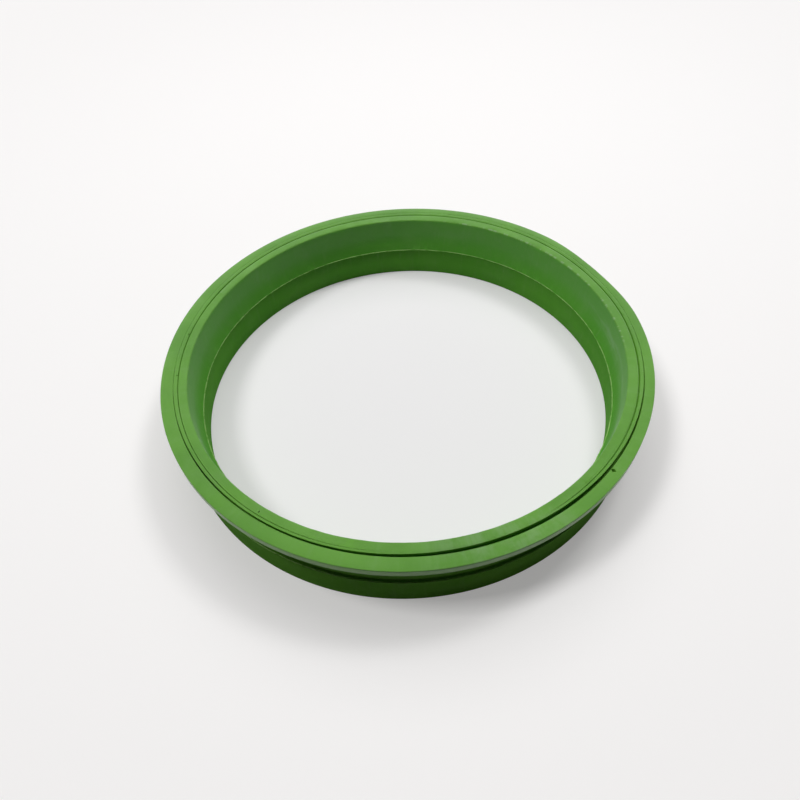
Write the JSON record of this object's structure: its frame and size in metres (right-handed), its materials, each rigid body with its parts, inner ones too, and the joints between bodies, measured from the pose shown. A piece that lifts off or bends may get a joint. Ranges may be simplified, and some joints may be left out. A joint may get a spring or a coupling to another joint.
{
  "type": "fuel pump gasket",
  "caption": "Moulded green rubber ring gasket with a tall sleeve, a thin outer flange and a sealing face with a bead between relief grooves.",
  "frame": {"origin": "on the ring's axis, in the plane of the foot that it stands on", "axes": "+Z along the ring's axis, from the foot towards the flange and the sealing face"},
  "size_m": [0.141, 0.141, 0.0215],
  "materials": {
    "green_rubber": "satin moulded rubber"
  },
  "bodies": {
    "root": {"gasket": "green_rubber"}
  },
  "joints": []
}
